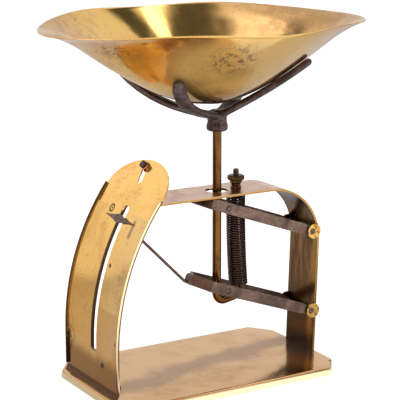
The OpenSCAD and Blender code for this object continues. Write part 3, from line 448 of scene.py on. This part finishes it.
def strap_material():
    g, colour, roughness, normal = brass(
        "strap_brass", (222, 182, 156), (190, 146, 116), (84, 56, 42),
        rough=(0.2, 0.32), cover=0.6, patch=0.03, spots=0.62, seed=3, dents=0.0003)
    streak = g.patches(0.006, 5, 0.65, 51, 0.35, 0.65, stretch=(1, 1, 0.14))
    # Golden patches on the near side
    golden_near_side = g.times(g.below(g.y, -8 * MM, 9 * MM),
                     g.patches(0.012, 4, 0.6, 52, 0.38, 0.58, stretch=(1, 1, 0.3)))
    # Painted shade high on the post, under the bar's corner, and low down by the tray
    grime_and_shade = g.largest(g.above(g.z, POST_TOP_SHADE_Z, 17 * MM),
                      g.below(g.z, tray_top + 22 * MM, 18 * MM))
    shaded_wall = g.paint(
        g.mix(streak, srgb(96, 66, 40), srgb(154, 114, 70)),
        (g.below(g.z, POST_BROWN_Z, 60 * MM), 1.0, (84, 56, 28)),
        (golden_near_side, 0.65, (182, 136, 64)),
        (grime_and_shade, 0.88, (34, 25, 21)))
    # Painted light: only the bar's upper side keeps the pale, lit tone; the rest is painted a
    # darker, shaded brown
    flat = g.above(g.z, bar_top - 1.2 * MM, 0.8 * MM)
    outer = g.largest(flat, g.times(g.facing((0, 0, 1)), g.above(g.z, BAR_LIT_Z, 10 * MM)))
    from_middle = g.off(g.y, 0.0)
    # Painted highlight along the strap's edges
    edge = g.above(from_middle, STRAP_EDGE - 0.15 * MM, 0.1 * MM)
    # Painted shade on the slot's walls
    slot_shade = g.times(g.across_slot(), g.below(g.x, LEG_X, 5 * MM),
                   g.above(g.z, STRAP_SLOT_LOW, MM), g.below(g.z, STRAP_SLOT_HIGH, MM))
    at_lugs = g.above(g.x, LUG_X, MM)
    lug = g.times(g.above(from_middle, STRAP_EDGE + 0.05 * MM, 0.15 * MM), at_lugs)
    # Painted shade on the lugs' inner faces
    inner = g.times(g.above(from_middle, STRAP_EDGE - 1.4 * MM, 0.2 * MM),
                    g.below(from_middle, STRAP_EDGE - 0.3 * MM, 0.2 * MM),
                    g.below(g.x, LUG_END_X, MM), at_lugs)
    worn_lug = g.mix(g.patches(0.003, 4, 0.6, 53, 0.45, 0.62),
                     srgb(200, 158, 88), srgb(140, 98, 52))
    colour = g.paint(
        g.mix(outer, shaded_wall, colour),
        (edge, 0.85, (168, 128, 74)),
        (slot_shade, 0.9, (46, 32, 24)))
    colour = g.paint(g.mix(lug, colour, worn_lug), (inner, 1.0, (40, 28, 24)))
    return g.finish(colour, roughness, normal)


def tray_material():
    g, colour, roughness, normal = brass(
        "tray_brass", (236, 190, 138), (208, 158, 106), (104, 68, 42),
        rough=(0.12, 0.2), cover=0.55, patch=0.045, spots=0.68, seed=4, dents=0.0012)
    top = g.above(g.z, tray_top - 0.4 * MM, 0.2 * MM)
    # A darker band runs along the middle of the top
    middle = g.math("SUBTRACT", g.y, g.math("ADD", g.times(g.x, TRAY_BAND_SLOPE), TRAY_BAND_Y))
    wave = g.times(g.math("SUBTRACT", g.noise(0.05, 4, 0.6, 61), 0.5), 0.05)
    band = g.times(g.within(g.off(g.math("ADD", middle, wave), 0.0), 6 * MM, 18 * MM), top)
    # Painted shade on the top under the post
    shade_under_post = g.times(g.above(g.x, 82 * MM, 22 * MM),
                         g.below(g.off(g.y, 0.0), 36 * MM, 16 * MM), top)
    # Painted reflection of the white paper: the tray's sides a bright cream
    side = g.below(g.z, tray_top - 1.2 * MM, 1.4 * MM)
    fold = g.times(g.below(g.z, tray_top - 0.1 * MM, 0.5 * MM),
                   g.above(g.z, tray_top - 1.8 * MM, 0.7 * MM))
    colour = g.paint(
        colour,
        (band, 0.62, (156, 122, 102)),
        (shade_under_post, 0.28, (120, 84, 48)),
        (side, 0.7, (255, 238, 196)),
        (fold, 0.55, (140, 96, 52)),
        # Painted shade in a notch at the near corner
        (g.near(*TRAY_NOTCH_SHADE), 1.0, (22, 16, 14)))
    return g.finish(colour, g.math("ADD", roughness, g.times(band, 0.08)), normal)


def iron_material(name, light, dark, seed, cast=0.0, patch=0.02):
    """Aged iron; cast from 0 for smooth strip to 1 for a rough casting."""
    g = Graph(name, 0.8)
    cloud = g.patches(patch, 6, 0.62, seed, 0.3, 0.7, warp=0.8)
    fine = g.patches(0.0022, 4, 0.7, seed + 1, 0.3, 0.7)
    share = g.times(cloud, g.math("ADD", g.times(fine, 0.35), 0.65))
    rust = g.patches(0.005, 4, 0.6, seed + 2, 0.6, 0.74)
    colour = g.paint(g.mix(share, srgb(*dark), srgb(*light)), (rust, 0.35, (112, 70, 50)))
    pits = g.bump(g.noise(0.0011, 4, 0.65, seed + 4), 0.00003 + cast * 0.00025, 0.6)
    normal = g.bump(g.noise(0.006, 3, 0.5, seed + 5), 0.00004 + cast * 0.0006, 0.5, after=pits)
    return g.finish(colour, g.step(fine, 0.0, 1.0, 0.52, 0.36), normal)


def steel_material(name, tone, lit, rough, seed):
    g = Graph(name, 0.9)
    fine = g.noise(0.0012, 4, 0.6, seed)
    colour = g.mix(g.step(fine, 0.35, 0.7), srgb(*tone), srgb(*lit))
    roughness = g.step(g.noise(0.0025, 4, 0.6, seed + 1), 0.3, 0.7, *rough)
    return g.finish(colour, roughness, g.bump(fine, 0.00003, 0.5))


def plain_brass(*args, **more):
    g, colour, roughness, normal = brass(*args, **more)
    return g.finish(colour, roughness, normal)


def coverings():
    return {
        "pan": pan_material(),
        "dial_plate": dial_material(),
        "frame_strap": strap_material(),
        "base_tray": tray_material(),
        "rod": plain_brass("rod_brass", (114, 78, 40), (78, 52, 28), (40, 27, 18),
                           rough=(0.18, 0.3), cover=0.7, patch=0.02, seed=5, dents=0.00005),
        "bronze": plain_brass("nut_bronze", (104, 78, 48), (52, 38, 26), (20, 15, 12),
                              rough=(0.26, 0.42), cover=0.85, patch=0.006, seed=6, dents=0.00001),
        "washer": plain_brass("washer_brass", (226, 172, 128), (190, 136, 96), (110, 70, 48),
                              rough=(0.2, 0.34), cover=0.5, patch=0.006, seed=8, dents=0.00001),
        "yoke": iron_material("yoke_iron", (134, 109, 97), (80, 61, 54), 21),
        "spider": iron_material("spider_iron", (104, 86, 84), (58, 44, 42), 22,
                                cast=1.0, patch=0.012),
        "steel": steel_material("dark_steel", (66, 52, 50), (120, 104, 98), (0.26, 0.44), 23),
        "wire": steel_material("spring_steel", (48, 32, 28), (88, 68, 62), (0.22, 0.36), 24),
    }


def new_object(name, mesh, material, body, stands_for):
    obj = bpy.data.objects.new(name, mesh)
    bpy.context.scene.collection.objects.link(obj)
    mesh.materials.clear()
    mesh.materials.append(material)
    if body is not None:
        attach(obj, body)
    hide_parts(*stands_for)
    return obj


def smooth(mesh, angle):
    mesh.shade_smooth()
    mesh.set_sharp_from_angle(angle=math.radians(angle))


def welded(node, facets=None):
    """The node's mesh with its points joined, and facets under an angle in degrees merged."""
    b = bmesh.new()
    b.from_mesh(nodes[node].data)
    bmesh.ops.remove_doubles(b, verts=b.verts, dist=1e-6)
    if facets:
        bmesh.ops.dissolve_limit(b, angle_limit=math.radians(facets), verts=b.verts, edges=b.edges)
    return b


def fill(name, b):
    mesh = bpy.data.meshes.new(name)
    b.to_mesh(mesh)
    b.free()
    return mesh


def dress(node, material, bevel):
    """The node's own shape with its edges eased by bevel millimetres."""
    name = node + "_dressed"
    mesh = fill(name, welded(node, facets=0.4))
    obj = new_object(name, mesh, material, body_of[node], [node])
    if bevel:
        ease = obj.modifiers.new("ease", "BEVEL")
        ease.width = bevel * MM
        ease.segments = 2
        ease.limit_method = "ANGLE"
        ease.angle_limit = math.radians(32)
        ease.use_clamp_overlap = True
    smooth(mesh, 35)


def full_turn(steps):
    return [2 * math.pi * i / steps for i in range(steps)]


def bridge(b, low, high):
    """Faces between two closed rings of points."""
    for j in range(len(low)):
        k = (j + 1) % len(low)
        b.faces.new((low[j], low[k], high[k], high[j]))


def loft(rings, joined=False):
    """Mesh over closed rings of points; its ends are capped, or joined to each other."""
    b = bmesh.new()
    rows = [[b.verts.new(p) for p in ring] for ring in rings]
    for low, high in zip(rows, rows[1:]):
        bridge(b, low, high)
    if joined:
        bridge(b, rows[-1], rows[0])
    else:
        b.faces.new(list(reversed(rows[0])))
        b.faces.new(rows[-1])
    return b


def to_mesh(b, name):
    bmesh.ops.recalc_face_normals(b, faces=b.faces)
    return fill(name, b)


def pan_point(s, a):
    """Point of the pan's underside, by share s of the way out and direction a from its middle."""
    long_share = abs(math.cos(a)) / (PAN_LEN / 2)
    wide_share = abs(math.sin(a)) / (PAN_WID / 2)
    rim = (long_share ** PAN_FULL + wide_share ** PAN_FULL) ** (-1 / PAN_FULL)
    bowl = (math.hypot(s, PAN_ROUND) - PAN_ROUND) / (math.hypot(1, PAN_ROUND) - PAN_ROUND)
    lip = max(0.0, (s - PAN_LIP_START) / (1 - PAN_LIP_START)) ** 2
    flare = PAN_FLARE + PAN_END_FLARE * math.cos(2 * a)
    deep = PAN_DEEP - PAN_DIP_ENDS * math.cos(2 * a) - PAN_DIP_QUARTERS * math.cos(4 * a)
    rise = deep * (bowl ** PAN_POWER - flare * lip) / (1 - flare)
    x = s * rim * math.cos(a + PAN_TURN)
    y = s * rim * math.sin(a + PAN_TURN)
    z = PAN_Z + rise + y * PAN_TILT_FAR - x * PAN_TILT_POST
    return Vector((ROD_X + PAN_SHIFT.x + x, PAN_SHIFT.y + y, z))


def pan_normal(s, a):
    h = 0.004
    out = pan_point(s + h, a) - pan_point(s - h, a)
    along = pan_point(s, a + h) - pan_point(s, a - h)
    return out.cross(along).normalized()


def add_pan(material):
    across, rim_steps = 64, 6
    directions = full_turn(288)
    shares = [0.004 + 0.996 * (j / across) ** 0.85 for j in range(across + 1)]

    def hammered(p, s):
        """Height of the hammer marks at a point, fading out at the rim."""
        broad = noise.noise(p * 38 + Vector((3, 5, 9))) * 0.22
        small = noise.noise(p * 110 + Vector((7, 1, 4))) * 0.05
        return (broad + small) * MM * min(1, (1 - s) * 8)

    def face(s, a, lift):
        p = pan_point(s, a)
        return p + pan_normal(s, a) * (lift + hammered(p, s))

    def rim(turn, a):
        """Point on the half round between the two faces."""
        out = (pan_point(1.004, a) - pan_point(0.996, a)).normalized()
        return (pan_point(1, a) + pan_normal(1, a) * (PAN_SHEET / 2 * (1 - math.cos(turn)))
                + out * (PAN_SHEET * 0.4 * math.sin(turn)))

    rings = [[face(s, a, 0) for a in directions] for s in shares]
    rings += [[rim(math.pi * j / rim_steps, a) for a in directions] for j in range(1, rim_steps)]
    rings += [[face(s, a, PAN_SHEET) for a in directions] for s in reversed(shares)]
    mesh = to_mesh(loft(rings), "pan_shell")
    mesh.shade_smooth()
    new_object("pan_shell", mesh, material, "weighing_pan", ["pan"])


def add_spider(material):
    """The casting with its arms run into the hub."""
    mesh = fill("spider_cast", welded("pan_spider"))
    obj = new_object("spider_cast", mesh, material, "plunger", ["pan_spider"])
    melt = obj.modifiers.new("melt", "REMESH")
    melt.mode = "VOXEL"
    melt.voxel_size = 0.9 * MM
    melt.use_smooth_shade = True
    ease = obj.modifiers.new("ease", "SMOOTH")
    ease.factor = 0.5
    ease.iterations = 7


def add_spring(material):
    """The same coil as the frame's, with more steps in a turn and a round wire."""
    span = COIL_TURNS * 360 + 2 * END_TURN
    low = COIL_TOP - span / 360 * COIL_PITCH
    bend = math.cos(math.radians(END_TURN))
    arc_r = COIL_R * bend / (1 + bend)
    arc_y = (COIL_R - arc_r) * math.sin(math.radians(END_TURN))
    turn_steps, arc_steps, sides = 28, 10, 12

    def coil(share):
        z = low + share * (COIL_TOP - low)
        turn = math.radians(180 - END_TURN + share * span)
        drift = ((COIL_TOP - z) / (COIL_TOP - low)) ** COIL_DRIFT
        x = screw_x + (COIL_FOOT_X - screw_x) * drift
        return Vector((x + COIL_R * math.cos(turn), COIL_R * math.sin(turn), z))

    def arc(x, z, side, share):
        turn = math.radians((180 - END_TURN) * share)
        return Vector((x - arc_r * (1 - math.cos(turn)),
                       side * (arc_y + arc_r * math.sin(turn)), z))

    foot_ys = (-ROD_R - END_OUT, -ROD_R, 0, arc_y * 0.7)
    top_ys = (-arc_y * 0.7, 0, SCREW_HOLE_R + END_OUT)
    steps = COIL_TURNS * turn_steps
    line = [Vector((COIL_FOOT_X, y, low)) for y in foot_ys]
    line += [arc(COIL_FOOT_X, low, 1, i / arc_steps) for i in range(arc_steps)]
    line += [coil(i / steps) for i in range(steps + 1)]
    line += [arc(screw_x, COIL_TOP, -1, i / arc_steps) for i in range(arc_steps - 1, -1, -1)]
    line += [Vector((screw_x, y, COIL_TOP)) for y in top_ys]
    rings = []
    for i, p in enumerate(line):
        along = (line[min(i + 1, len(line) - 1)] - line[max(i - 1, 0)]).normalized()
        side = along.cross(Vector((0, 0, 1))).normalized()
        up = along.cross(side)
        rings.append([p + COIL_WIRE / 2 * (side * math.cos(a) + up * math.sin(a))
                      for a in full_turn(sides)])
    mesh = to_mesh(loft(rings), "coil_wire")
    mesh.shade_smooth()
    obj = new_object("coil_wire", mesh, material, None, ["spring"])
    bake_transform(obj)


def around_screw(r, turn, z):
    return Vector((screw_x + r * math.cos(turn), r * math.sin(turn), z))


def turned(profile, base, steps, radius_at=None):
    """Ring-shaped piece about the screw from (radius, height) pairs in millimetres."""
    rings = []
    for r, z in profile:
        r, z = r * MM, z * MM
        rings.append([around_screw(radius_at(r, z, turn) if radius_at else r, turn, base + z)
                      for turn in full_turn(steps)])
    return loft(rings, joined=True)


def add_nut(material):
    """Nut with a milled rim over a waist."""
    rim = (nut_high.x - nut_low.x) / 2 / MM
    tall = (nut_high.z - nut_low.z) / MM
    bore, waist, notches = THREAD_BORE / MM, 5.2, 30
    profile = [(bore, 0), (waist + 0.3, 0), (waist + 0.5, 0.4), (waist, 1.2), (waist, 1.7),
               (rim - 1.4, 2.0), (rim - 0.3, 2.5), (rim, 3.1), (rim, tall - 1.3),
               (rim - 0.3, tall - 0.6), (rim - 1.3, tall - 0.1), (rim - 2, tall), (bore, tall)]

    def milled(r, z, turn):
        if 2.3 * MM < z < (tall - 0.4) * MM and r > (rim - 0.5) * MM:
            return r - 0.35 * MM * max(0, math.cos(turn * notches)) ** 0.5
        return r

    mesh = to_mesh(turned(profile, nut_low.z, 240, milled), "milled_nut")
    smooth(mesh, 40)
    new_object("milled_nut", mesh, material, "nut", ["adjusting_nut"])


def add_rings(material):
    """The two rings under the nut, with a groove between them."""
    rim = (ring_high.x - ring_low.x) / 2 / MM
    tall = (ring_high.z - ring_low.z) / MM
    bore = THREAD_BORE / MM
    profile = [(bore, 0), (rim - 0.3, 0), (rim, 0.4), (rim, 1.4), (rim - 0.4, 2.0),
               (rim - 1.2, 2.3), (rim - 1.2, 2.7), (rim - 0.5, 3.0), (rim - 0.4, 4.2),
               (rim - 0.9, 4.9), (rim - 1.3, tall), (bore, tall)]
    mesh = to_mesh(turned(profile, ring_low.z, 96), "grooved_rings")
    smooth(mesh, 40)
    new_object("grooved_rings", mesh, material, "root", ["collar_rings"])


def add_screw(material):
    """Screw with a plain end that carries the coil, and a thread above it."""
    radius = (screw_high.x - screw_low.x) / 2
    tall = screw_high.z - screw_low.z
    plain = COIL_TOP - screw_low.z + 2.2 * MM
    chamfer, rows_a_turn = 0.8 * MM, 6
    rows = int(tall / THREAD_PITCH * rows_a_turn)
    rings = []
    for i in range(rows + 1):
        z = tall * i / rows
        narrow = 1 if z < tall - chamfer else 1 - 0.25 * (z - tall + chamfer) / chamfer
        ring = []
        for turn in full_turn(32):
            phase = (z / THREAD_PITCH - turn / (2 * math.pi)) % 1
            cut = THREAD_DEPTH * abs(2 * phase - 1) if z > plain else 0.02 * MM
            ring.append(around_screw((radius - cut) * narrow, turn, screw_low.z + z))
        rings.append(ring)
    mesh = to_mesh(loft(rings), "threaded_screw")
    smooth(mesh, 50)
    new_object("threaded_screw", mesh, material, "screw", ["spring_screw"])


def add_stage():
    """White paper that also glows: for the camera, and more by its near side in reflections."""
    b = bmesh.new()
    bmesh.ops.create_grid(b, x_segments=1, y_segments=1, size=6)
    mesh = fill("floor", b)
    floor = bpy.data.objects.new("floor", mesh)
    bpy.context.scene.collection.objects.link(floor)
    floor.location.z = -0.2 * MM
    g = Graph("floor_paper", 0.0)
    for name, value in (("Base Color", PAPER), ("Roughness", 0.9), ("Specular IOR Level", 0.1)):
        g.put(value, g.shader.inputs[name])
    path = g.add("LightPath").outputs
    # A bright strip right beside the tray, which its near flange reflects
    strip = g.times(g.math("LESS_THAN", g.y, STRIP_TO), g.math("GREATER_THAN", g.y, STRIP_FROM))
    side = g.step(g.y, -0.08, -0.30, PAPER_FAR, PAPER_NEAR)
    mirrored = g.times(path["Is Glossy Ray"], g.math("ADD", side, g.times(strip, PAPER_STRIP)))
    seen = g.times(path["Is Camera Ray"], PAPER_SEEN)
    glow = g.add("Emission")
    g.put(WHITE, glow.inputs["Color"])
    g.put(g.math("ADD", mirrored, seen), glow.inputs["Strength"])
    both = g.mix_shader(0.5, g.shader.outputs[0], glow.outputs[0])
    g.put(both, g.tree.nodes["Material Output"].inputs["Surface"])
    mesh.materials.append(g.material)


def add_world():
    """White to the camera. In reflections it is a pale tent with lamps and gaps overhead."""
    world = bpy.data.worlds.new("studio")
    bpy.context.scene.world = world
    world.use_nodes = True
    world.node_tree.nodes.clear()
    g = Nodes(world.node_tree)
    out = g.add("OutputWorld")
    path = g.add("LightPath").outputs
    around = g.add("TexCoord").outputs["Generated"]

    def background(colour, strength=1.0):
        n = g.add("Background")
        g.put(colour, n.inputs["Color"])
        g.put(strength, n.inputs["Strength"])
        return n.outputs[0]

    room = ROOM
    for turn, rise, inner, outer, level in TENT:
        turn, rise, inner, outer = (math.radians(v) for v in (turn, rise, inner, outer))
        way = Vector((math.cos(rise) * math.cos(turn), math.cos(rise) * math.sin(turn),
                      math.sin(rise)))
        share = g.step(g.vector_math("DOT_PRODUCT", around, way), math.cos(outer), math.cos(inner))
        room = g.mix(share, room, (level, level, level * 0.98, 1))
    glossy = background(room)
    seen = background(WHITE)
    plain = background(WHITE, PLAIN)
    shown = g.mix_shader(path["Is Glossy Ray"], plain, glossy)
    shown = g.mix_shader(path["Is Camera Ray"], shown, seen)
    g.put(shown, out.inputs["Surface"])


def add_light(name, at, size, power):
    data = bpy.data.lights.new(name, "AREA")
    data.shape = "RECTANGLE"
    data.size, data.size_y = size
    data.energy = power
    light = bpy.data.objects.new(name, data)
    bpy.context.scene.collection.objects.link(light)
    aim(light, Vector(at), LIGHT_TARGET)
    light.visible_glossy = False


def dress_all():
    skin = coverings()
    add_pan(skin["pan"])
    add_spider(skin["spider"])
    add_spring(skin["wire"])
    add_nut(skin["bronze"])
    add_rings(skin["bronze"])
    add_screw(skin["steel"])
    dress("base_tray", skin["base_tray"], 0.3)
    dress("frame_strap", skin["frame_strap"], 0)
    dress("dial_plate", skin["dial_plate"], 0.2)
    dress("plunger_rod", skin["rod"], 0.4)
    for node in ("lower_yoke", "upper_yoke"):
        dress(node, skin["yoke"], 0.35)
    for node in ("foot_rivets", "dial_rivet", "clamp_screw", "lower_pivot_pin", "upper_pivot_pin",
                 "lower_cross_pin", "upper_cross_pin", "nose_rivet"):
        dress(node, skin["steel"], 0.2)
    dress("pointer_wire", skin["yoke"], 0.1)
    dress("pointer", skin["yoke"], 0.15)
    dress("clamp_washer", skin["washer"], 0.25)


bpy.context.scene.view_settings.view_transform = "Standard"
add_camera()
add_world()
add_stage()
for name, light in LIGHTS.items():
    add_light(name, *light)
dress_all()
